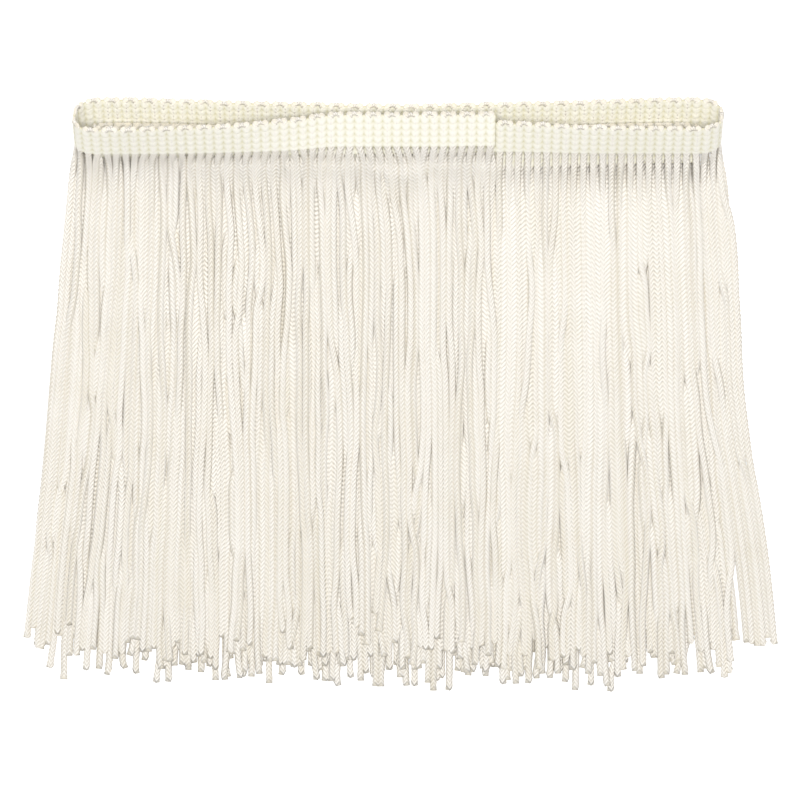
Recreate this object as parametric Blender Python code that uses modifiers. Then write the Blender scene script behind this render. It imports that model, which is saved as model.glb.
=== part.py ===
"""Chainette fringe trim, wound flat into a loop of two and a half turns and lying on a surface.

Two pieces: the woven heading band, which is one strip wound round and round, and the comb of
chainette cords along its lower edge. X runs along the trim, +Y points from the cord ends to the
heading, and +Z points up from the surface that the trim lies on.
"""

import math
from collections import namedtuple

import bmesh
import bpy
import numpy as np

MM = 0.001

# The trim as it comes off the loom
HEADING_WIDTH = 9.5 * MM
HEADING_THICKNESS = 1.2 * MM
CORD_LENGTH = 142 * MM
CORD_PITCH = 2.4 * MM
FRINGE_THICKNESS = 1.2 * MM
SEAM_GAP = 0.4 * MM

# The comb that stands for the cords: the teeth hang from an uncut spine along the heading
SPINE_DEPTH = 3 * MM
CORDS_PER_TOOTH = 3
SLIT_SHARE = 0.15
ROW_SHARES = (0.09, 0.2, 0.4, 0.7, 1.0)
MOST_SHORTENING = 5 * MM

# How the cords settle below the heading
SETTLE_LENGTH = 34 * MM
FAN_SPREAD = 17 * MM
FAN_POWER_X = 3.2
FAN_POWER_LENGTH = 1.25
HALF_HEADING = 83 * MM

# Steps along the strip
RUN_STEP = 4.8 * MM
TURN_STEPS = 8
TURN_SQUARENESS = 0.75

# A station of a run: where the heading's lower edge is, in mm, and how far the band leans up
# from the surface there, in degrees.
Station = namedtuple("Station", "x y z lean")

# A run of the strip from one end of the loop to the other. settled_z is the height in mm at which
# its cords lie once they are clear of the heading.
Run = namedtuple("Run", "name settled_z stations")

# A turn between one run and the next: how far its lower and upper edges swing out, in mm.
Turn = namedtuple("Turn", "side lower_reach upper_reach")

# The strip from its outer cut end to its inner one
RUNS = (
    Run("front_outer", 7.0, (
        Station(x=24.5, y=0.6, z=9.4, lean=20),
        Station(x=8, y=0.3, z=8.7, lean=19.5),
        Station(x=-15, y=0.2, z=8.2, lean=19.5),
        Station(x=-28, y=-0.8, z=8.2, lean=24.5),
        Station(x=-41, y=-1.2, z=8.3, lean=33),
        Station(x=-55, y=-1.5, z=8.4, lean=36),
        Station(x=-76, y=-1.6, z=8.6, lean=39),
    )),
    Run("back_outer", 0.6, (
        Station(x=-75, y=4.1, z=1.2, lean=33),
        Station(x=-41, y=3.2, z=1.2, lean=33),
        Station(x=0, y=2.4, z=1.2, lean=33),
        Station(x=41, y=3.2, z=1.2, lean=33),
        Station(x=75, y=4.1, z=1.2, lean=33),
    )),
    Run("front_middle", 5.4, (
        Station(x=75, y=-1.9, z=6.5, lean=37),
        Station(x=52, y=-1.9, z=6.4, lean=35),
        Station(x=28, y=-1.5, z=6.4, lean=29),
        Station(x=6, y=-2.0, z=6.1, lean=15),
        Station(x=-28, y=-2.3, z=6.0, lean=20),
        Station(x=-55, y=-2.5, z=6.1, lean=32),
        Station(x=-71.5, y=-2.7, z=6.1, lean=32),
    )),
    Run("back_inner", 2.2, (
        Station(x=-71.5, y=-4.6, z=2.1, lean=8),
        Station(x=0, y=-6.8, z=2.1, lean=7),
        Station(x=71.5, y=-4.6, z=2.1, lean=8),
    )),
    Run("front_inner", 3.8, (
        Station(x=71.5, y=-4.9, z=3.8, lean=10),
        Station(x=45, y=-5.6, z=3.7, lean=8),
        Station(x=0, y=-6.8, z=3.7, lean=8),
        Station(x=-40, y=-5.4, z=3.7, lean=8),
        Station(x=-66, y=-4.5, z=3.7, lean=8),
    )),
)
TURNS = (
    Turn(side=-1, lower_reach=7.4, upper_reach=7.4),
    Turn(side=1, lower_reach=7.4, upper_reach=7.4),
    Turn(side=-1, lower_reach=7.0, upper_reach=6.6),
    Turn(side=1, lower_reach=4.6, upper_reach=4.8),
)

IVORY_HEADING = (0.87, 0.84, 0.74, 1)
IVORY_CORD = (0.87, 0.83, 0.75, 1)


def smooth_through(places, values, wanted):
    """Values at the wanted places on a smooth curve through the given ones, which never overshoots."""
    order = np.argsort(places)
    x, y = np.asarray(places, float)[order], np.asarray(values, float)[order]
    slope = np.diff(y) / np.diff(x)
    same_way = slope[1:] * slope[:-1] > 0
    joined = 2 * slope[1:] * slope[:-1] / np.where(same_way, slope[1:] + slope[:-1], 1)
    tangent = np.concatenate([[0], np.where(same_way, joined, 0), [0]])
    i = np.clip(np.searchsorted(x, wanted) - 1, 0, len(x) - 2)
    step = x[i + 1] - x[i]
    t = (wanted - x[i]) / step
    return (
        y[i] * (1 + 2 * t) * (1 - t) ** 2
        + y[i + 1] * t**2 * (3 - 2 * t)
        + step * (tangent[i] * t * (1 - t) ** 2 - tangent[i + 1] * t**2 * (1 - t))
    )


def run_edges(run):
    """Lower and upper edge of the heading along one run, and its cords' settled height."""
    stations = np.array(run.stations)
    first, last = stations[0, 0], stations[-1, 0]
    count = max(2, round(abs(last - first) * MM / RUN_STEP)) + 1
    x = np.linspace(first, last, count)
    y, z, lean = (smooth_through(stations[:, 0], stations[:, k], x) for k in (1, 2, 3))
    lower = np.stack([x, y, z], axis=1) * MM
    lean = np.radians(lean)
    across = np.stack([np.zeros(count), np.cos(lean), np.sin(lean)], axis=1)
    return lower, lower + HEADING_WIDTH * across, np.full(count, run.settled_z * MM)


def turned(start, end, side, reach):
    """Points of the half turn between two points, one above the other, leaving out both."""
    angle = np.linspace(0, math.pi, TURN_STEPS + 1)[1:-1, None]
    middle, half = (start + end) / 2, (start - end) / 2
    outward = np.array([side * reach * MM, 0, 0])
    back = np.sign(np.cos(angle)) * np.abs(np.cos(angle)) ** TURN_SQUARENESS
    return middle + half * back + outward * np.sin(angle) ** TURN_SQUARENESS


def wound_strip():
    """The whole strip: its lower edge, its upper edge and its cords' settled height, point by point."""
    lower, upper, settled = run_edges(RUNS[0])
    for turn, run in zip(TURNS, RUNS[1:]):
        next_lower, next_upper, next_settled = run_edges(run)
        angle = np.linspace(0, math.pi, TURN_STEPS + 1)[1:-1]
        weight = (1 - np.cos(angle)) / 2
        lower_turn = turned(lower[-1], next_lower[0], turn.side, turn.lower_reach)
        upper_turn = turned(upper[-1], next_upper[0], turn.side, turn.upper_reach)
        settled_turn = settled[-1] + (next_settled[0] - settled[-1]) * weight
        lower = np.concatenate([lower, lower_turn, next_lower])
        upper = np.concatenate([upper, upper_turn, next_upper])
        settled = np.concatenate([settled, settled_turn, next_settled])
    return lower, upper, settled


def along(points):
    """Distance along a line of points, at each point."""
    return np.concatenate([[0], np.cumsum(np.linalg.norm(np.diff(points, axis=0), axis=1))])


def resampled(distance, values, wanted):
    """Columns of values read at the wanted distances."""
    return np.stack([np.interp(wanted, distance, column) for column in values.T], axis=1)


def fringe_row(lower, upper, settled, depth):
    """The fringe's points at one depth, or at one for each column, below the heading's lower edge."""
    down = (lower - upper) / np.linalg.norm(lower - upper, axis=1)[:, None]
    leaning = np.hypot(down[:, 0], down[:, 2])[:, None]
    row = lower + down * (SEAM_GAP + HEADING_THICKNESS * leaning)
    settling = np.minimum(depth / SETTLE_LENGTH, 1)
    settling = settling**2 * (3 - 2 * settling)
    reach = np.minimum(np.abs(lower[:, 0]) / HALF_HEADING, 1) ** FAN_POWER_X
    row[:, 0] += np.sign(lower[:, 0]) * FAN_SPREAD * reach * (depth / CORD_LENGTH) ** FAN_POWER_LENGTH
    row[:, 1] -= depth
    row[:, 2] += (settled - row[:, 2]) * settling
    return row


def tooth_columns(distance):
    """Distances of the comb's columns along the strip, if it is cut after each, and their lengths."""
    pitch = CORDS_PER_TOOTH * CORD_PITCH
    teeth = round(distance[-1] / pitch)
    pitch = distance[-1] / teeth
    columns, is_slit, lengths = [], [], []
    for tooth in range(teeth):
        start = (tooth + SLIT_SHARE / 2) * pitch
        end = (tooth + 1 - SLIT_SHARE / 2) * pitch
        margin = 0.08 * pitch
        inner = distance[(distance > start + margin) & (distance < end - margin)]
        turning = inner if len(inner) > 1 else []
        places = [start, *turning, end]
        columns += places
        is_slit += [False] * (len(places) - 1) + [True]
        unevenness = (1 + math.sin(2.4 * tooth)) / 2
        lengths += [CORD_LENGTH - MOST_SHORTENING * unevenness] * len(places)
    return np.array(columns), is_slit, np.array(lengths)


def surface_object(name, rows, is_slit, cut_from_row, thickness, collection, material):
    """An open sheet over a grid of points, with slits below one row, thickened by Solidify."""
    mesh = bmesh.new()
    verts = [[mesh.verts.new(point) for point in row] for row in rows]
    for r in range(len(rows) - 1):
        for c in range(len(rows[0]) - 1):
            if r < cut_from_row or not is_slit[c]:
                mesh.faces.new((verts[r][c], verts[r][c + 1], verts[r + 1][c + 1], verts[r + 1][c]))
    loose = [vert for vert in mesh.verts if not vert.link_faces]
    bmesh.ops.delete(mesh, geom=loose, context="VERTS")
    data = bpy.data.meshes.new(name)
    mesh.to_mesh(data)
    mesh.free()
    data.materials.append(material)
    data.shade_smooth()
    obj = bpy.data.objects.new(name, data)
    collection.objects.link(obj)
    solidify = obj.modifiers.new("thickness", "SOLIDIFY")
    solidify.thickness = thickness
    solidify.offset = 0
    return obj


def make_material(name, colour, roughness):
    material = bpy.data.materials.new(name)
    material.use_nodes = True
    shader = material.node_tree.nodes["Principled BSDF"]
    shader.inputs["Base Color"].default_value = colour
    shader.inputs["Roughness"].default_value = roughness
    shader.inputs["Metallic"].default_value = 0
    return material


def make_heading(lower, upper, collection):
    """The woven band: three lines of points across its width, wound as one strip."""
    rows = [lower, (lower + upper) / 2, upper]
    never_cut = [False] * len(lower)
    material = make_material("ivory_woven_heading", IVORY_HEADING, 0.75)
    return surface_object("heading", rows, never_cut, len(rows), HEADING_THICKNESS, collection, material)


def make_fringe(lower, upper, settled, collection):
    """The comb of cords: a spine under the heading, and teeth down to the cut ends."""
    distance = along(lower)
    columns, is_slit, lengths = tooth_columns(distance)
    lower, upper = resampled(distance, lower, columns), resampled(distance, upper, columns)
    settled = np.interp(columns, distance, settled)
    depths = [0, SPINE_DEPTH] + [share * lengths for share in ROW_SHARES]
    rows = [fringe_row(lower, upper, settled, depth) for depth in depths]
    material = make_material("ivory_chainette_cord", IVORY_CORD, 0.6)
    return surface_object("fringe", rows, is_slit, 1, FRINGE_THICKNESS, collection, material)


def centre_on_surface(objects):
    """Moves the objects so that the middle of their box's underside is at the origin."""
    bpy.context.view_layer.update()
    graph = bpy.context.evaluated_depsgraph_get()
    corners = np.array([corner[:] for obj in objects for corner in obj.evaluated_get(graph).bound_box])
    low, high = corners.min(axis=0), corners.max(axis=0)
    for obj in objects:
        obj.location = (-(low[0] + high[0]) / 2, -(low[1] + high[1]) / 2, -low[2])


def main():
    for obj in list(bpy.data.objects):
        bpy.data.objects.remove(obj, do_unlink=True)
    collection = bpy.data.collections.new("chainette_fringe_trim")
    bpy.context.scene.collection.children.link(collection)
    lower, upper, settled = wound_strip()
    heading = make_heading(lower, upper, collection)
    fringe = make_fringe(lower, upper, settled, collection)
    centre_on_surface([heading, fringe])


main()
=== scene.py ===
"""The looks of a chainette fringe trim, wound flat into a loop of two and a half turns and lying down.

The strip's winding is worked out as the CAD model's is, on a finer grid. Each chainette cord starts
at the picot edge, under a rib of the weave, and leaves the heading at its lower edge. Below it, the
pile is cut into slices. In each slice the cords are soft discs that sink and push each other aside.
"""

import math
from collections import namedtuple

import bpy
import numpy as np
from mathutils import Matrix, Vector


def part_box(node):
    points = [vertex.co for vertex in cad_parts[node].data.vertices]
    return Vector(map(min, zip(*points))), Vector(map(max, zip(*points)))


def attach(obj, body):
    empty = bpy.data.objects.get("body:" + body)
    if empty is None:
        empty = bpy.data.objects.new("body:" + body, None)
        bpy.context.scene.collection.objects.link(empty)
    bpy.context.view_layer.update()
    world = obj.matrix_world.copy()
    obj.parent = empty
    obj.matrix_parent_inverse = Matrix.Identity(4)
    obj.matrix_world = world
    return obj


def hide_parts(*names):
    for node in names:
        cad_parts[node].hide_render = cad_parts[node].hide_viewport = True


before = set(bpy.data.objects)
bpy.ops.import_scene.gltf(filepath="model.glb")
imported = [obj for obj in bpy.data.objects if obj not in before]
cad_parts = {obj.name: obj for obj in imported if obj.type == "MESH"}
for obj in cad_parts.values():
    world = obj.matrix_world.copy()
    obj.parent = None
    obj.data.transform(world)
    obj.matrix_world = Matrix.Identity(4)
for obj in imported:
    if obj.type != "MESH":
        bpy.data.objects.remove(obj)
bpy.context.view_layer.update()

MM = 0.001

# The trim as it comes off the loom
HEADING_WIDTH = 9.5 * MM
CAD_THICKNESS = 1.2 * MM
CAD_BACK_LEAN = 33
GROUND_THICKNESS = 0.5 * MM
GROUND_MARGIN = 0.3 * MM
CORD_LENGTH = 142 * MM
CORD_PITCH = 2.4 * MM
CORD_RADIUS = 0.85 * MM
STITCH_LENGTH = 1.2 * MM
STITCH_SLANT = 0.95 * STITCH_LENGTH
CORD_SIDES = 6

# The weave's relief, out from the middle of the strip. A row of V stitches dips by V_DIP rows at
# the middle of each rib.
WARP_ROWS = 5
WARP_ROW_PITCH = 1.9 * MM
FACE_STEPS_PER_RIB = 8
FACE_STEPS_PER_ROW = 6
FACE_MARGIN = 0.1 * MM
FACE_EDGE = 0.5 * MM
V_DIP = 0.5
V_START = 0.1
FACE_RELIEF = 0.27 * MM
RIB_RELIEF = 0.13 * MM
STITCH_RELIEF = 0.045 * MM
UNEVEN_RELIEF = 0.02 * MM

# The picot loops
RIBS_PER_PICOT = 2
PICOT_HEIGHT = 1.0 * MM
PICOT_UNEVENNESS = 0.15 * MM
PICOT_LEANING = 0.12 * MM
PICOT_ROOT = 0.7 * MM
PICOT_PLUMP = 0.62 * MM
PICOT_PINCHED = 0.44 * MM
PICOT_SLANT = 0.3 * MM
PICOT_POINTS = 11

# Where each cord would lie below the heading
FAN_SPREAD = 17 * MM
FAN_POWER_X = 3.2
FAN_POWER_LENGTH = 1.25
TURN_FAN_SHARES = (0.7, 1.12)
HALF_HEADING = 83 * MM
DRIFT_GROWTH = 40 * MM
STRAY_AT_END = 1.3 * MM
SIDESTEP_LENGTH = 4 * MM
FALL_LENGTH = 9 * MM
LOWEST_LAYER = 0.6 * MM
LAYER_HEIGHT = 1.3 * MM
LAYER_UNEVENNESS = 0.3 * MM

# How the pile settles, slice by slice
SLICE = 2 * MM
SLICES = 78
PACKED_WIDTH = 1.5 * MM
PACKED_HEIGHT = 0.95 * MM
PRESSED_LEVEL = 2.2 * MM
BAND_CLEARANCE = 1.0 * MM
BAND_REACH = 1.5 * MM
BAND_OVERHANG = 0.12
LAYER_MARGIN = 0.4
SETTLING_STEPS = 320
NEIGHBOURS = 9
SINKING = 0.05 * MM
PRESSING_SHARE = 0.06
RETURN_SHARE = 0.03
PUSH_SHARE = 0.38
SMOOTHING_SHARE = 0.25

# The finished cords
PATH_STEP = STITCH_LENGTH / 2
PATH_SMOOTHING_TURNS = 6
SHORTER_BY = 1.2 * MM
LENGTH_UNEVENNESS = 1.9 * MM
RAGGEDNESS = 1.6 * MM
FACING_LENGTH = 14 * MM
LOOSENING_LENGTH = 5 * MM
FLARE_AT_END = 1.12
CUT_END_MARGIN = 4.5 * MM

# A cord's half width and half height, as shares of its radius: in the heading, free below it, and
# pressed under others. At each stitch it goes from plump to pinched.
HEADING_SPREAD = 1.1
FREE_SPREAD = 1.08
PRESSED_SPREAD = 1.5
HEADING_RISE = 0.55
FREE_RISE = 0.7
PLUMP = 1.1
PINCHED = 0.86

# How finely the strip's winding is worked out
RUN_STEP = 1.2 * MM
TURN_STEPS = 24
TURN_SQUARENESS = 0.75

# The strip from its outer cut end to its inner one, as in the CAD model. A station says where the
# heading's lower edge is, in mm, and how far the band leans up from the surface, in degrees.
Station = namedtuple("Station", "x y z lean")
# layer is the run's place in the pile, counted up from the surface.
Run = namedtuple("Run", "name layer stations")
Turn = namedtuple("Turn", "name side lower_reach upper_reach")
RUNS = (
    Run("front_outer", 4, (
        Station(x=24.5, y=0.6, z=9.4, lean=20),
        Station(x=8, y=0.3, z=8.7, lean=19.5),
        Station(x=-15, y=0.2, z=8.2, lean=19.5),
        Station(x=-28, y=-0.8, z=8.2, lean=24.5),
        Station(x=-41, y=-1.2, z=8.3, lean=33),
        Station(x=-55, y=-1.5, z=8.4, lean=36),
        Station(x=-76, y=-1.6, z=8.6, lean=39),
    )),
    Run("back_outer", 0, (
        Station(x=-75, y=4.1, z=1.2, lean=33),
        Station(x=-41, y=3.2, z=1.2, lean=33),
        Station(x=0, y=2.4, z=1.2, lean=33),
        Station(x=41, y=3.2, z=1.2, lean=33),
        Station(x=75, y=4.1, z=1.2, lean=33),
    )),
    Run("front_middle", 3, (
        Station(x=75, y=-1.9, z=6.5, lean=37),
        Station(x=52, y=-1.9, z=6.4, lean=35),
        Station(x=28, y=-1.5, z=6.4, lean=29),
        Station(x=6, y=-2.0, z=6.1, lean=15),
        Station(x=-28, y=-2.3, z=6.0, lean=20),
        Station(x=-55, y=-2.5, z=6.1, lean=32),
        Station(x=-71.5, y=-2.7, z=6.1, lean=32),
    )),
    Run("back_inner", 1, (
        Station(x=-71.5, y=-4.6, z=2.1, lean=8),
        Station(x=0, y=-6.8, z=2.1, lean=7),
        Station(x=71.5, y=-4.6, z=2.1, lean=8),
    )),
    Run("front_inner", 2, (
        Station(x=71.5, y=-4.9, z=3.8, lean=10),
        Station(x=45, y=-5.6, z=3.7, lean=8),
        Station(x=0, y=-6.8, z=3.7, lean=8),
        Station(x=-40, y=-5.4, z=3.7, lean=8),
        Station(x=-66, y=-4.5, z=3.7, lean=8),
    )),
)
TURNS = (
    Turn("turn_outer_left", side=-1, lower_reach=7.4, upper_reach=7.4),
    Turn("turn_outer_right", side=1, lower_reach=7.4, upper_reach=7.4),
    Turn("turn_inner_left", side=-1, lower_reach=7.0, upper_reach=6.6),
    Turn("turn_inner_right", side=1, lower_reach=4.6, upper_reach=4.8),
)

# Places where the cords of the outer front run sweep aside together, just below the heading, in mm
Sweep = namedtuple("Sweep", "x half_width shift start end")
SWEEPS = (
    Sweep(x=-3, half_width=15, shift=3.4, start=3, end=27),
    Sweep(x=-29, half_width=2.6, shift=-0.7, start=1, end=8),
    Sweep(x=-25.5, half_width=2.6, shift=0.8, start=1, end=8),
)

# How far the cords of the lower runs step aside, so that they fill the gaps between those above
SIDESTEP = {"front_inner": 1.1 * MM, "back_inner": -0.5 * MM, "back_outer": 0.4 * MM}

# Each yarn's colour, and the yellower, darker colour that paints the shade in its grooves, between its
# stitches and where strands meet
CORD_COLOUR = (0.93, 0.892, 0.828, 1)
CORD_PAINTED_SHADE = (0.68, 0.60, 0.42, 1)
WARP_COLOUR = (0.9, 0.88, 0.80, 1)
WARP_PAINTED_SHADE = (0.66, 0.62, 0.39, 1)
GROUND_COLOUR = (0.87, 0.84, 0.68, 1)

# The studio. The camera looks down on the trim, tilted towards its heading.
CAMERA_TARGET = (0.0006, 0.0003, 0.004)
CAMERA_TILT = 15
CAMERA_DISTANCE = 1.0
VIEW_WIDTH = 0.2095
SENSOR_WIDTH = 36
KEY_PLACE = (-0.03, 0.34, 1.26)
KEY_SIZE = 0.5
KEY_POWER = 15
WORLD_STRENGTH = 0.4
FLOOR_SIZE = 6
FLOOR_GAP = 0.2 * MM


# ---------------------------------------------------------------- the wound strip

def smooth_through(places, values, wanted):
    """Values at the wanted places on a smooth curve through the given ones, which never overshoots."""
    order = np.argsort(places)
    x, y = np.asarray(places, float)[order], np.asarray(values, float)[order]
    slope = np.diff(y) / np.diff(x)
    same_way = slope[1:] * slope[:-1] > 0
    joined = 2 * slope[1:] * slope[:-1] / np.where(same_way, slope[1:] + slope[:-1], 1)
    tangent = np.concatenate([[0], np.where(same_way, joined, 0), [0]])
    i = np.clip(np.searchsorted(x, wanted) - 1, 0, len(x) - 2)
    step = x[i + 1] - x[i]
    t = (wanted - x[i]) / step
    return (
        y[i] * (1 + 2 * t) * (1 - t) ** 2
        + y[i + 1] * t**2 * (3 - 2 * t)
        + step * (tangent[i] * t * (1 - t) ** 2 - tangent[i + 1] * t**2 * (1 - t))
    )


def smoothstep(value):
    value = np.clip(value, 0, 1)
    return value * value * (3 - 2 * value)


def unit(vectors):
    return vectors / np.linalg.norm(vectors, axis=-1, keepdims=True)


def distances(line):
    """How far along a line of points each of its points is."""
    steps = np.linalg.norm(np.diff(line, axis=0), axis=1)
    return np.concatenate([[0], np.cumsum(steps)])


def read_at(values, places, wanted):
    """Each column of values, known at the places, read at the wanted ones."""
    return np.stack([np.interp(wanted, places, column) for column in values.T], axis=1)


def run_edges(run):
    """Lower and upper edge of the heading along one run, point by point."""
    stations = np.array(run.stations)
    first, last = stations[0, 0], stations[-1, 0]
    count = round(abs(last - first) * MM / RUN_STEP) + 1
    x = np.linspace(first, last, count)
    y, z, lean = (smooth_through(stations[:, 0], stations[:, k], x) for k in (1, 2, 3))
    lower = np.stack([x, y, z], axis=1) * MM
    lean = np.radians(lean)
    across = np.stack([np.zeros(count), np.cos(lean), np.sin(lean)], axis=1)
    return lower, lower + HEADING_WIDTH * across


def turned(start, end, side, reach):
    """Points of the half turn between two points, one above the other, leaving out both."""
    angle = np.linspace(0, math.pi, TURN_STEPS + 1)[1:-1, None]
    middle, half = (start + end) / 2, (start - end) / 2
    outward = np.array([side * reach * MM, 0, 0])
    back = np.sign(np.cos(angle)) * np.abs(np.cos(angle)) ** TURN_SQUARENESS
    return middle + half * back + outward * np.sin(angle) ** TURN_SQUARENESS


class Strip:
    """The whole wound heading, read by distance along its lower edge."""

    def __init__(self):
        lower, upper = run_edges(RUNS[0])
        layer = np.full(len(lower), float(RUNS[0].layer))
        group = [RUNS[0].name] * len(lower)
        angle = np.linspace(0, math.pi, TURN_STEPS + 1)[1:-1]
        for turn, before, run in zip(TURNS, RUNS, RUNS[1:]):
            next_lower, next_upper = run_edges(run)
            weight = (1 - np.cos(angle)) / 2
            lower_turn = turned(lower[-1], next_lower[0], turn.side, turn.lower_reach)
            upper_turn = turned(upper[-1], next_upper[0], turn.side, turn.upper_reach)
            layer_turn = before.layer + (run.layer - before.layer) * weight
            lower = np.concatenate([lower, lower_turn, next_lower])
            upper = np.concatenate([upper, upper_turn, next_upper])
            layer = np.concatenate([layer, layer_turn, np.full(len(next_lower), float(run.layer))])
            group += [turn.name] * len(lower_turn) + [run.name] * len(next_lower)
        self.lower, self.upper, self.layer, self.group = lower, upper, layer, np.array(group)
        self.place_on_cad()
        self.distance = distances(self.lower)
        self.length = self.distance[-1]
        along = np.gradient(self.lower + self.upper, axis=0)
        self.outward = unit(np.cross(self.upper - self.lower, along))

    def place_on_cad(self):
        """Moves the strip into the frame, where the CAD heading says that it lies."""
        low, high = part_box("heading")
        upper_edge = self.upper[:, 1].max() + CAD_THICKNESS / 2 * math.sin(math.radians(CAD_BACK_LEAN))
        shift = np.array([(low.x + high.x) / 2, high.y - upper_edge, 0])
        self.lower = self.lower + shift
        self.upper = self.upper + shift

    def at(self, wanted):
        """Lower edge, direction up the band and outward direction, at the wanted distances."""
        edges = (self.lower, self.upper, self.outward)
        lower, upper, outward = (read_at(values, self.distance, wanted) for values in edges)
        return lower, unit(upper - lower), unit(outward)

    def group_at(self, wanted):
        nearest = np.clip(np.searchsorted(self.distance, wanted), 0, len(self.group) - 1)
        return self.group[nearest]


# ---------------------------------------------------------------- meshes

def stitched_object(name, points, faces, places, material):
    """A smooth object with a stitch map. places holds the map for the corners of its first faces."""
    mesh = bpy.data.meshes.new(name)
    mesh.from_pydata(points.tolist(), [], faces)
    uv = np.zeros((len(mesh.loops), 2))
    uv[: len(places)] = places
    layer = mesh.uv_layers.new(name="stitches")
    layer.data.foreach_set("uv", uv.ravel())
    mesh.materials.append(material)
    mesh.shade_smooth()
    obj = bpy.data.objects.new(name, mesh)
    bpy.context.scene.collection.objects.link(obj)
    return obj


class Tubes:
    """Closed tubes gathered into one mesh, with a stitch map and a tone for each strand."""

    def __init__(self):
        self.points, self.quads, self.caps, self.maps, self.tones = [], [], [], [], []
        self.count = 0

    def add(self, rings, places, tone):
        """One tube through rings of points. places is each ring's distance along it, in stitches."""
        n, k = rings.shape[:2]
        index = self.count + np.arange(n * k).reshape(n, k)
        turned_index = np.roll(index, -1, axis=1)
        quads = np.stack([index[:-1], index[1:], turned_index[1:], turned_index[:-1]], axis=-1)
        around = np.arange(k) / k
        corner_u = np.stack([around, around, around + 1 / k, around + 1 / k], axis=-1)
        corner_v = np.stack([places[:-1], places[1:], places[1:], places[:-1]], axis=-1)
        uv = np.empty((n - 1, k, 4, 2))
        uv[..., 0] = corner_u[None]
        uv[..., 1] = corner_v[:, None]
        self.points.append(rings.reshape(-1, 3))
        self.quads.append(quads.reshape(-1, 4))
        self.maps.append(uv.reshape(-1, 2))
        self.caps += [index[0].tolist(), index[-1, ::-1].tolist()]
        self.tones.append(np.full(n * k, tone))
        self.count += n * k

    def object(self, name, material):
        faces = np.concatenate(self.quads).tolist() + self.caps
        places = np.concatenate(self.maps)
        obj = stitched_object(name, np.concatenate(self.points), faces, places, material)
        tone = obj.data.attributes.new("tone", "FLOAT", "POINT")
        tone.data.foreach_set("value", np.concatenate(self.tones))
        return obj


def tube_rings(centres, reference, half_width, half_height, roll, slant):
    """Rings of points round a line. The slant moves every other point of a ring along the line."""
    along = unit(np.gradient(centres, axis=0))
    side = unit(np.cross(along, reference))
    up = np.cross(side, along)
    corner = np.arange(CORD_SIDES)
    angle = corner * 2 * math.pi / CORD_SIDES + np.asarray(roll).reshape(-1, 1)
    width = half_width[:, None] * np.cos(angle)
    height = half_height[:, None] * np.sin(angle)
    ahead = slant * np.where(corner % 2, -0.5, 0.5)
    return (
        centres[:, None]
        + side[:, None] * width[..., None]
        + up[:, None] * height[..., None]
        + along[:, None] * ahead[None, :, None]
    )


# ---------------------------------------------------------------- the pile of cords

class Wander:
    """How the cords of a layer drift sideways together, in a few slow waves."""

    def __init__(self, rng, waves=5):
        self.size = rng.uniform(0.2, 0.5, waves) * MM
        self.across = 2 * math.pi / (rng.uniform(9, 34, waves) * MM)
        self.down = 2 * math.pi / (rng.uniform(60, 190, waves) * MM) * rng.choice([-1, 1], waves)
        self.phase = rng.uniform(0, 2 * math.pi, waves)

    def at(self, x, depth):
        angle = self.across * x + self.down * depth[:, None] + self.phase
        return (self.size * np.sin(angle)).sum(axis=1)


def swept(x, depth):
    """How far the cords that start at x have swept aside by each depth."""
    aside = np.zeros(len(depth))
    for sweep in SWEEPS:
        near = max(0.0, 1 - abs(x / MM - sweep.x) / sweep.half_width)
        share = smoothstep((depth / MM - sweep.start) / (sweep.end - sweep.start))
        aside += sweep.shift * MM * smoothstep(near) * share
    return aside


def wanted_line(hang, group, wander, depth, rng):
    """Where one cord would lie sideways at each depth, if the others left it alone."""
    share = np.maximum(depth, 0) / CORD_LENGTH
    fan = FAN_SPREAD * min(abs(hang[0]) / HALF_HEADING, 1) ** FAN_POWER_X
    if group.startswith("turn"):
        fan *= rng.uniform(*TURN_FAN_SHARES)
    own_waves = rng.uniform(45, 130, 3) * MM
    own = sum(np.sin(2 * math.pi * depth / wave + rng.uniform(0, 6.28)) for wave in own_waves)
    drift = own * rng.uniform(0.15, 0.5) * MM + wander.at(hang[0], depth)
    drift = drift * smoothstep(depth / DRIFT_GROWTH)
    drift += rng.normal(0, STRAY_AT_END) * share**1.3
    drift += SIDESTEP.get(group, 0) * smoothstep(depth / SIDESTEP_LENGTH)
    if group == "front_outer":
        drift += swept(hang[0], depth)
    return hang[0] + np.sign(hang[0]) * fan * share**FAN_POWER_LENGTH + drift


def heading_below(strip, hangs, layers, level):
    """How high each cord must stay in every slice to lie on the bands of heading under it."""
    floor = np.full((len(level), len(hangs)), PACKED_HEIGHT / 2)
    low, high = strip.lower, strip.upper
    for i, hang in enumerate(hangs):
        beside = np.abs(low[:, 0] - hang[0]) < BAND_REACH
        under = beside & (strip.layer < layers[i] - LAYER_MARGIN)
        for start, end in zip(low[under], high[under]):
            share = (level - start[1]) / (end[1] - start[1])
            there = (share > -BAND_OVERHANG) & (share < 1)
            height = start[2] + (end[2] - start[2]) * share + BAND_CLEARANCE
            floor[there, i] = np.maximum(floor[there, i], height[there])
    return floor


def smooth_once(values):
    """Moves each row but the first and the last towards the mean of the rows beside it, in place."""
    values[1:-1] += SMOOTHING_SHARE * (values[:-2] + values[2:] - 2 * values[1:-1])


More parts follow.
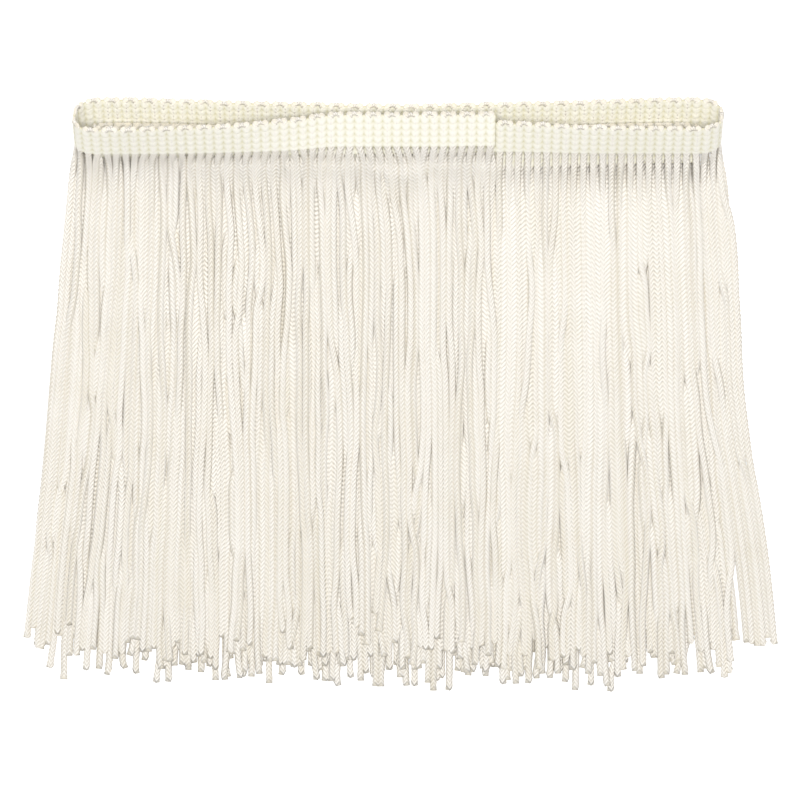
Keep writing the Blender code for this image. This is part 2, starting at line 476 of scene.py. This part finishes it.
def settle(wanted, x, z, free, hang_x, hang_z, floor):
    """Lets the cords sink and push each other aside in every slice, each one staying smooth."""
    for _ in range(SETTLING_STEPS):
        z = z - SINKING - PRESSING_SHARE * np.maximum(z - PRESSED_LEVEL, 0)
        x = x + (wanted - x) * RETURN_SHARE
        order = np.argsort(x, axis=1)
        sorted_x = np.take_along_axis(x, order, axis=1)
        sorted_z = np.take_along_axis(z, order, axis=1)
        sorted_free = np.take_along_axis(free, order, axis=1)
        push_x, push_z = np.zeros_like(x), np.zeros_like(z)
        for k in range(1, NEIGHBOURS + 1):
            dx = (sorted_x[:, k:] - sorted_x[:, :-k]) / PACKED_WIDTH
            dz = (sorted_z[:, k:] - sorted_z[:, :-k]) / PACKED_HEIGHT
            apart = np.hypot(dx, dz) + 1e-6
            both = sorted_free[:, k:] & sorted_free[:, :-k]
            move = np.where(both, np.maximum(1 - apart, 0), 0) * PUSH_SHARE / apart
            push_x[:, k:] += move * dx * PACKED_WIDTH
            push_x[:, :-k] -= move * dx * PACKED_WIDTH
            push_z[:, k:] += move * dz * PACKED_HEIGHT
            push_z[:, :-k] -= move * dz * PACKED_HEIGHT
        np.put_along_axis(x, order, sorted_x + push_x, axis=1)
        np.put_along_axis(z, order, sorted_z + push_z, axis=1)
        smooth_once(x)
        smooth_once(z)
        z = np.maximum(z, floor)
        x = np.where(free, x, hang_x)
        z = np.where(free, z, hang_z)
    return x, z


# reference says which way the cord's face looks, free says which points are below the heading, and
# shows says that the cord lies on top of the pile.
Cord = namedtuple("Cord", "group centres reference free shows tone")


def lay_cords(strip):
    """Every cord of the trim: hung from its place on the heading, then settled among the others."""
    rng = np.random.default_rng(7)
    count = round(strip.length / CORD_PITCH)
    places = (np.arange(count) + 0.5) * strip.length / count
    layers = np.interp(places, strip.distance, strip.layer)
    groups = strip.group_at(places)
    hangs, across, outward = strip.at(places)
    wanders = {run.name: Wander(rng) for run in RUNS}
    level = hangs[:, 1].max() - np.arange(SLICES) * SLICE
    depth = hangs[:, 1] - level[:, None]
    free = depth > 0
    lines = []
    for hang, group, cord_depth in zip(hangs, groups, depth.T):
        wander = wanders.get(group, wanders["front_outer"])
        lines.append(wanted_line(hang, group, wander, cord_depth, rng))
    wanted = np.stack(lines, axis=1)
    fall = np.exp(-np.maximum(depth, 0) / FALL_LENGTH)
    uneven = rng.uniform(-LAYER_UNEVENNESS, LAYER_UNEVENNESS, count)
    start = LOWEST_LAYER + LAYER_HEIGHT * layers + uneven
    z = start + (hangs[:, 2] - start) * fall
    x = np.where(free, wanted, hangs[:, 0])
    floor = heading_below(strip, hangs, layers, level)
    z = np.where(free, np.maximum(z, floor), hangs[:, 2])
    x, z = settle(wanted, x, z, free, hangs[:, 0], hangs[:, 2], floor)
    return [
        finished_cord(groups[i], hangs[i], across[i], outward[i], level, x[:, i], z[:, i], rng)
        for i in range(count)
    ]


def finished_cord(group, hang, across, outward, level, x, z, rng):
    """The whole centre line of one cord, from the picot edge to its cut end."""
    in_heading = np.arange(HEADING_WIDTH + 0.2 * MM, 0, -PATH_STEP)
    heading = hang + across * in_heading[:, None]
    below = level < hang[1] - 0.4 * SLICE
    knots = np.concatenate([[hang], np.stack([x, level, z], axis=1)[below]])
    fine = np.arange(0, len(knots) - 1, 0.25)
    line = read_at(knots, np.arange(len(knots)), fine)
    for _ in range(PATH_SMOOTHING_TURNS):
        smooth_once(line)
    along = distances(line)
    length = CORD_LENGTH - SHORTER_BY + rng.normal(0, LENGTH_UNEVENNESS) - rng.exponential(RAGGEDNESS)
    wanted = np.arange(PATH_STEP, min(length, along[-1]), PATH_STEP)
    centres = read_at(line, along, wanted)

    up_in_heading = outward if outward[2] > -0.3 else -outward
    weight = smoothstep(wanted / FACING_LENGTH)[:, None]
    reference = unit(up_in_heading * (1 - weight) + np.array([0, 0, 1.0]) * weight)
    centres = np.concatenate([heading, centres])
    reference = np.concatenate([np.tile(up_in_heading, (len(heading), 1)), reference])
    is_free = np.arange(len(centres)) >= len(heading)
    past_cut_end = hang[0] > RUNS[0].stations[0].x * MM - CUT_END_MARGIN
    shows = group.startswith("turn") or group == "front_outer"
    shows = shows or (group == "front_middle" and past_cut_end)
    return Cord(group, centres, reference, is_free, shows, rng.normal(0, 1))


def cord_rings(cord, rng):
    """The rings and stitch places of one chainette cord. One that shows is pinched at each stitch."""
    step = 1 if cord.shows else 2
    centres, reference, free = (values[::step] for values in (cord.centres, cord.reference, cord.free))
    stitches = np.arange(len(cord.centres))[::step] * PATH_STEP / STITCH_LENGTH
    steps_below = np.cumsum(free) * step
    loosening = smoothstep(steps_below * PATH_STEP / LOOSENING_LENGTH)
    plump = np.ones(len(centres))
    if cord.shows:
        plump = np.where(np.arange(len(centres)) % 2, PLUMP, PINCHED)
    if cord.group.endswith("inner"):
        # Pressed wide by the cords above it, and less so towards its end
        towards_end = np.linspace(0, 1, len(centres)) ** 1.5
        spread = PRESSED_SPREAD + (FREE_SPREAD - PRESSED_SPREAD) * towards_end
    else:
        spread = HEADING_SPREAD + (FREE_SPREAD - HEADING_SPREAD) * loosening
    width = CORD_RADIUS * spread * plump
    height = CORD_RADIUS * (HEADING_RISE + (FREE_RISE - HEADING_RISE) * loosening) * plump
    width[-1] *= FLARE_AT_END
    height[-1] *= FLARE_AT_END
    roll = math.pi / 2 + loosening * (rng.uniform(-1, 1) + steps_below * rng.normal(0, 0.006))
    return tube_rings(centres, reference, width, height, roll, STITCH_SLANT), stitches


def make_cords(cords, material):
    """One mesh for the cords of each run and turn."""
    rng = np.random.default_rng(11)
    groups = {}
    for cord in cords:
        tubes = groups.setdefault(cord.group, Tubes())
        rings, stitches = cord_rings(cord, rng)
        tubes.add(rings, stitches, cord.tone)
    return [tubes.object(f"cords_{name}", material) for name, tubes in groups.items()]


# ---------------------------------------------------------------- the heading

def make_ground(strip, material):
    """The closed strip of weave that the ribs and warps lie on."""
    distance = np.arange(0, strip.length, RUN_STEP)
    lower, across, outward = strip.at(distance)
    low = lower + across * GROUND_MARGIN
    high = lower + across * (HEADING_WIDTH - GROUND_MARGIN)
    half = outward * GROUND_THICKNESS / 2
    rings = np.stack([low - half, high - half, high + half, low + half], axis=1)
    tubes = Tubes()
    tubes.add(rings, distance / CORD_PITCH, 0.0)
    ground = tubes.object("heading_ground", material)
    ground.data.shade_flat()
    return ground


def make_face(strip, pitch, face, material, name):
    """One face of the weave, 1 for outer or -1 for inner: round ribs crossed by rows of V stitches."""
    rng = np.random.default_rng(3 + face)
    distance = np.arange(0.0, strip.length, pitch / FACE_STEPS_PER_RIB)
    up = np.linspace(FACE_MARGIN, HEADING_WIDTH - FACE_MARGIN, WARP_ROWS * FACE_STEPS_PER_ROW + 1)
    ribs = (distance / pitch)[:, None]
    over_rib = np.abs(np.sin(math.pi * ribs))
    rows = up[None] / WARP_ROW_PITCH + V_DIP * over_rib - V_START
    over_row = np.abs(np.sin(math.pi * rows))
    uneven = rng.normal(0, UNEVEN_RELIEF, (len(distance) // FACE_STEPS_PER_RIB + 2, WARP_ROWS + 3))
    uneven = uneven[ribs.astype(int), np.clip(rows, 0, WARP_ROWS + 2).astype(int)]
    relief = FACE_RELIEF + over_rib**0.6 * (RIB_RELIEF + STITCH_RELIEF * over_row**0.5)
    relief = relief + uneven * over_rib * over_row
    from_edge = np.minimum(up, HEADING_WIDTH - up)[None] / FACE_EDGE
    relief = relief * smoothstep(from_edge * 0.5 + 0.5)
    lower, across, outward = strip.at(distance)
    points = lower[:, None] + across[:, None] * up[None, :, None]
    points = points + outward[:, None] * (face * relief)[..., None]
    index = np.arange(relief.size).reshape(relief.shape)
    quads = np.stack([index[:-1, :-1], index[1:, :-1], index[1:, 1:], index[:-1, 1:]], axis=-1)
    quads = quads.reshape(-1, 4)
    if face > 0:
        quads = quads[:, ::-1]
    places = np.stack([np.broadcast_to(ribs, rows.shape), rows], axis=-1).reshape(-1, 2)
    return stitched_object(name, points.reshape(-1, 3), quads.tolist(), places[quads.ravel()], material)


def make_picots(strip, pitch, material):
    """The looped edge: each loop joins the tops of two neighbouring ribs."""
    rng = np.random.default_rng(5)
    tubes = Tubes()
    count = round(strip.length / pitch)
    angle = np.linspace(0, math.pi, PICOT_POINTS)
    reach = pitch * (0.5 - 0.36 * np.cos(angle) + 0.05 * np.sin(2 * angle))
    plump = np.where(np.arange(PICOT_POINTS) % 2, PICOT_PLUMP, PICOT_PINCHED)
    for first in range(0, count - 1, RIBS_PER_PICOT):
        lower, across, outward = strip.at((first + 0.5) * pitch + reach)
        rise = PICOT_HEIGHT + rng.normal(0, PICOT_UNEVENNESS)
        height = HEADING_WIDTH - PICOT_ROOT + rise * np.sin(angle) ** 0.7
        lift = rng.normal(0, PICOT_LEANING) * np.sin(angle)
        centres = lower + across * height[:, None] + outward * lift[:, None]
        rings = tube_rings(centres, outward, plump, plump, 0.0, PICOT_SLANT)
        tubes.add(rings, np.arange(PICOT_POINTS) * 0.5 + 0.25, rng.normal(0, 1))
    return tubes.object("heading_picots", material)


# ---------------------------------------------------------------- materials

class Nodes:
    """A small helper for a material's node tree."""

    def __init__(self, name):
        self.material = bpy.data.materials.new(name)
        self.material.use_nodes = True
        self.tree = self.material.node_tree
        self.shader = self.tree.nodes["Principled BSDF"]

    def node(self, kind, **settings):
        made = self.tree.nodes.new(kind)
        for key, value in settings.items():
            setattr(made, key, value)
        return made

    def link(self, source, target):
        self.tree.links.new(source, target)

    def math(self, operation, *values):
        made = self.node("ShaderNodeMath", operation=operation)
        for socket, value in zip(made.inputs, values):
            if isinstance(value, (int, float)):
                socket.default_value = value
            else:
                self.link(value, socket)
        return made.outputs[0]

    def wave(self, value, repeats=1):
        """0 at each whole number and 1 halfway between them, for one repeat."""
        return self.math("ABSOLUTE", self.math("SINE", self.math("MULTIPLY", value, repeats * math.pi)))

    def weighted(self, *terms):
        """The sum of some values, each times its weight."""
        total = None
        for weight, value in terms:
            term = self.math("MULTIPLY", value, weight)
            total = term if total is None else self.math("ADD", total, term)
        return total

    def colour(self, shade, colour, groove):
        """Sets the base colour: the plain one where the shade is 0, the painted shade colour of the
        grooves where it is 1.
        """
        made = self.node("ShaderNodeMix", data_type="RGBA", clamp_factor=True)
        self.link(shade, made.inputs[0])
        made.inputs[6].default_value = colour
        made.inputs[7].default_value = groove
        self.link(made.outputs[2], self.shader.inputs["Base Color"])

    def stitch_map(self):
        places = self.node("ShaderNodeUVMap", uv_map="stitches")
        split = self.node("ShaderNodeSeparateXYZ")
        self.link(places.outputs[0], split.inputs[0])
        return split.outputs[0], split.outputs[1]

    def noise(self, scale, detail, vector=None):
        made = self.node("ShaderNodeTexNoise")
        made.inputs["Scale"].default_value = scale
        made.inputs["Detail"].default_value = detail
        if vector is None:
            vector = self.node("ShaderNodeTexCoord").outputs["Object"]
        self.link(vector, made.inputs["Vector"])
        return made.outputs[0]

    def bump(self, height, strength, distance):
        made = self.node("ShaderNodeBump")
        made.inputs["Strength"].default_value = strength
        made.inputs["Distance"].default_value = distance
        self.link(height, made.inputs["Height"])
        self.link(made.outputs[0], self.shader.inputs["Normal"])


def yarn_material(name, colour, groove, filaments, stitch_depth):
    """Knitted yarn: stitches along it, fine filaments, painted shade between the stitches and along
    each strand's sides, and a tone for each strand.
    """
    nodes = Nodes(name)
    around, along = nodes.stitch_map()
    stitch = nodes.math("POWER", nodes.wave(along), 0.6)
    side = nodes.math("POWER", nodes.wave(around, 2), 4.0)
    fibre_place = nodes.node("ShaderNodeCombineXYZ")
    nodes.link(nodes.math("MULTIPLY", around, 5.0), fibre_place.inputs[0])
    nodes.link(nodes.math("MULTIPLY", along, filaments), fibre_place.inputs[1])
    fibre = nodes.noise(1.0, 3.0, fibre_place.outputs[0])
    cloudy = nodes.noise(90.0, 2.0)
    tone = nodes.node("ShaderNodeAttribute", attribute_name="tone").outputs["Fac"]
    # Painted shade: the groove colour is mixed in between stitches and along the sides, where strands
    # meet and shade falls on them. The filament noise, the cloudy noise and the strand's tone are the
    # yarn's own uneven colour.
    shade = nodes.weighted(
        (0.42, nodes.math("SUBTRACT", 1.0, stitch)),
        (0.2, side),
        (0.25, nodes.math("SUBTRACT", fibre, 0.5)),
        (0.035, tone),
        (0.3, nodes.math("SUBTRACT", cloudy, 0.5)),
    )
    nodes.colour(shade, colour, groove)
    nodes.bump(nodes.weighted((stitch_depth, stitch), (0.4, fibre)), 0.9, 0.25 * MM)
    nodes.shader.inputs["Roughness"].default_value = 0.5
    nodes.shader.inputs["Specular IOR Level"].default_value = 0.3
    nodes.shader.inputs["Sheen Weight"].default_value = 0.15
    nodes.shader.inputs["Sheen Roughness"].default_value = 0.4
    return nodes.material


def heading_material(name):
    """Ribbed weave: pale ribs, painted shade in the grooves between ribs and along the rows, and a
    painted shadow dot in the hole where each row crosses a groove.
    """
    nodes = Nodes(name)
    ribs, rows = nodes.stitch_map()
    over_rib, over_row = nodes.wave(ribs), nodes.wave(rows)
    groove = nodes.math("SUBTRACT", 1.0, nodes.math("POWER", over_rib, 0.7))
    line = nodes.math("SUBTRACT", 1.0, nodes.math("POWER", over_row, 0.6))
    crossing = nodes.math("SUBTRACT", 1.0, nodes.math("POWER", over_rib, 0.8))
    fibre = nodes.noise(1800.0, 3.0)
    cloudy = nodes.noise(70.0, 2.0)
    # Painted shade: the groove, the row line and the dot where they cross darken the warp towards its
    # groove colour, where shade falls in the hollows and holes of the weave. The fibre and cloudy noise
    # are the yarn's own uneven colour.
    shade = nodes.weighted(
        (0.4, groove),
        (0.16, line),
        (0.5, nodes.math("MULTIPLY", crossing, line)),
        (0.3, nodes.math("SUBTRACT", fibre, 0.5)),
        (0.2, nodes.math("SUBTRACT", cloudy, 0.5)),
    )
    nodes.colour(shade, WARP_COLOUR, WARP_PAINTED_SHADE)
    nodes.bump(nodes.weighted((1.0, fibre), (-0.8, line)), 0.5, 0.15 * MM)
    nodes.shader.inputs["Roughness"].default_value = 0.6
    nodes.shader.inputs["Specular IOR Level"].default_value = 0.25
    return nodes.material


# ---------------------------------------------------------------- the studio

def make_floor():
    """A plain pale floor that stays white under the trim's light."""
    bpy.ops.mesh.primitive_plane_add(size=FLOOR_SIZE, location=(0, 0, -FLOOR_GAP))
    floor = bpy.context.object
    floor.name = "floor"
    nodes = Nodes("pale_floor")
    nodes.shader.inputs["Base Color"].default_value = (0.93, 0.93, 0.93, 1)
    nodes.shader.inputs["Roughness"].default_value = 0.9
    nodes.shader.inputs["Emission Color"].default_value = (1, 1, 1, 1)
    nodes.shader.inputs["Emission Strength"].default_value = 0.3
    floor.data.materials.append(nodes.material)


def make_light():
    data = bpy.data.lights.new("key", "AREA")
    data.size = KEY_SIZE
    data.energy = KEY_POWER
    light = bpy.data.objects.new("key", data)
    light.location = KEY_PLACE
    light.rotation_euler = (-Vector(KEY_PLACE)).to_track_quat("-Z", "Y").to_euler()
    bpy.context.scene.collection.objects.link(light)


def make_world():
    world = bpy.data.worlds.new("studio")
    world.use_nodes = True
    background = world.node_tree.nodes["Background"]
    background.inputs["Color"].default_value = (1, 1, 1, 1)
    background.inputs["Strength"].default_value = WORLD_STRENGTH
    bpy.context.scene.world = world
    bpy.context.scene.view_settings.view_transform = "Standard"


def make_camera():
    tilt = math.radians(CAMERA_TILT)
    data = bpy.data.cameras.new("camera")
    data.lens = SENSOR_WIDTH * CAMERA_DISTANCE / VIEW_WIDTH
    camera = bpy.data.objects.new("camera", data)
    back = Vector((0, math.sin(tilt), math.cos(tilt)))
    camera.location = Vector(CAMERA_TARGET) + CAMERA_DISTANCE * back
    camera.rotation_euler = (-tilt, 0, 0)
    bpy.context.scene.collection.objects.link(camera)
    bpy.context.scene.camera = camera


def main():
    make_camera()
    make_world()
    make_light()
    make_floor()
    strip = Strip()
    cords = lay_cords(strip)
    pitch = strip.length / len(cords)
    cord_material = yarn_material("chainette_cord", CORD_COLOUR, CORD_PAINTED_SHADE, 6.0, 1.0)
    face_material = heading_material("woven_heading")
    ground_material = yarn_material("heading_ground", GROUND_COLOUR, WARP_PAINTED_SHADE, 5.0, 0.6)
    picot_material = yarn_material("picot_yarn", CORD_COLOUR, CORD_PAINTED_SHADE, 6.0, 0.8)
    fringe = make_cords(cords, cord_material)
    ground = make_ground(strip, ground_material)
    faces = [
        make_face(strip, pitch, 1, face_material, "heading_outer_face"),
        make_face(strip, pitch, -1, face_material, "heading_inner_face"),
    ]
    picots = make_picots(strip, pitch, picot_material)
    for piece in fringe:
        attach(piece, "root")
        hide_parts("fringe")
    for piece in [ground, *faces, picots]:
        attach(piece, "root")
        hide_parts("heading")


main()
